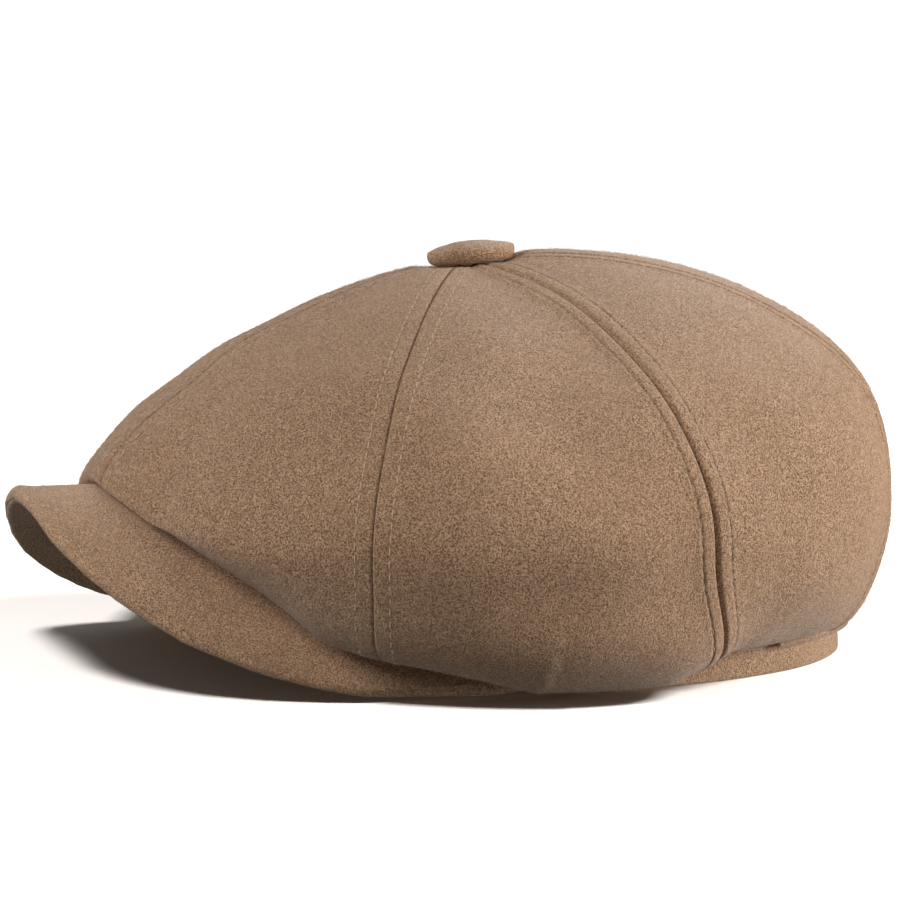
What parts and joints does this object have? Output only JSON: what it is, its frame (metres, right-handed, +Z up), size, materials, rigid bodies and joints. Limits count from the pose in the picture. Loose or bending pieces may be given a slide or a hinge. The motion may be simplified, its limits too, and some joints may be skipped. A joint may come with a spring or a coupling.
{
  "type": "newsboy cap",
  "caption": "Soft newsboy cap with a full gored wool crown, a covered top button, a narrow band and a short arched visor.",
  "frame": {"origin": "centre of the head opening, on the plane that the cap rests on", "axes": "+Z up through the crown, -Y towards the visor, +X to the wearer's left"},
  "size_m": [0.2538, 0.2803, 0.1312],
  "materials": {
    "wool": "brushed heathered wool melton in camel",
    "lining": "smooth twill lining",
    "interlining": "stiff open plain weave",
    "sweatband": "ribbed grosgrain",
    "label": "plain woven label with no print",
    "board": "moulded sheet",
    "thread": "spun sewing thread",
    "button_metal": "tinned sheet"
  },
  "bodies": {
    "root": {"crown_panel_front": "wool", "crown_panel_front_left": "wool", "crown_panel_side_left": "wool", "crown_panel_back_left": "wool", "crown_panel_back": "wool", "crown_panel_back_right": "wool", "crown_panel_side_right": "wool", "crown_panel_front_right": "wool", "lining_panel_front": "lining", "lining_panel_front_left": "lining", "lining_panel_side_left": "lining", "lining_panel_back_left": "lining", "lining_panel_back": "lining", "lining_panel_back_right": "lining", "lining_panel_side_right": "lining", "lining_panel_front_right": "lining", "outer_band": "wool", "band_interlining": "interlining", "sweatband": "sweatband", "size_label": "label", "visor_top_cover": "wool", "visor_board": "board", "visor_under_cover": "wool", "visor_tack": "thread", "button_cover": "wool", "button_shell": "button_metal", "button_back": "button_metal", "button_thread": "thread"}
  },
  "joints": []
}
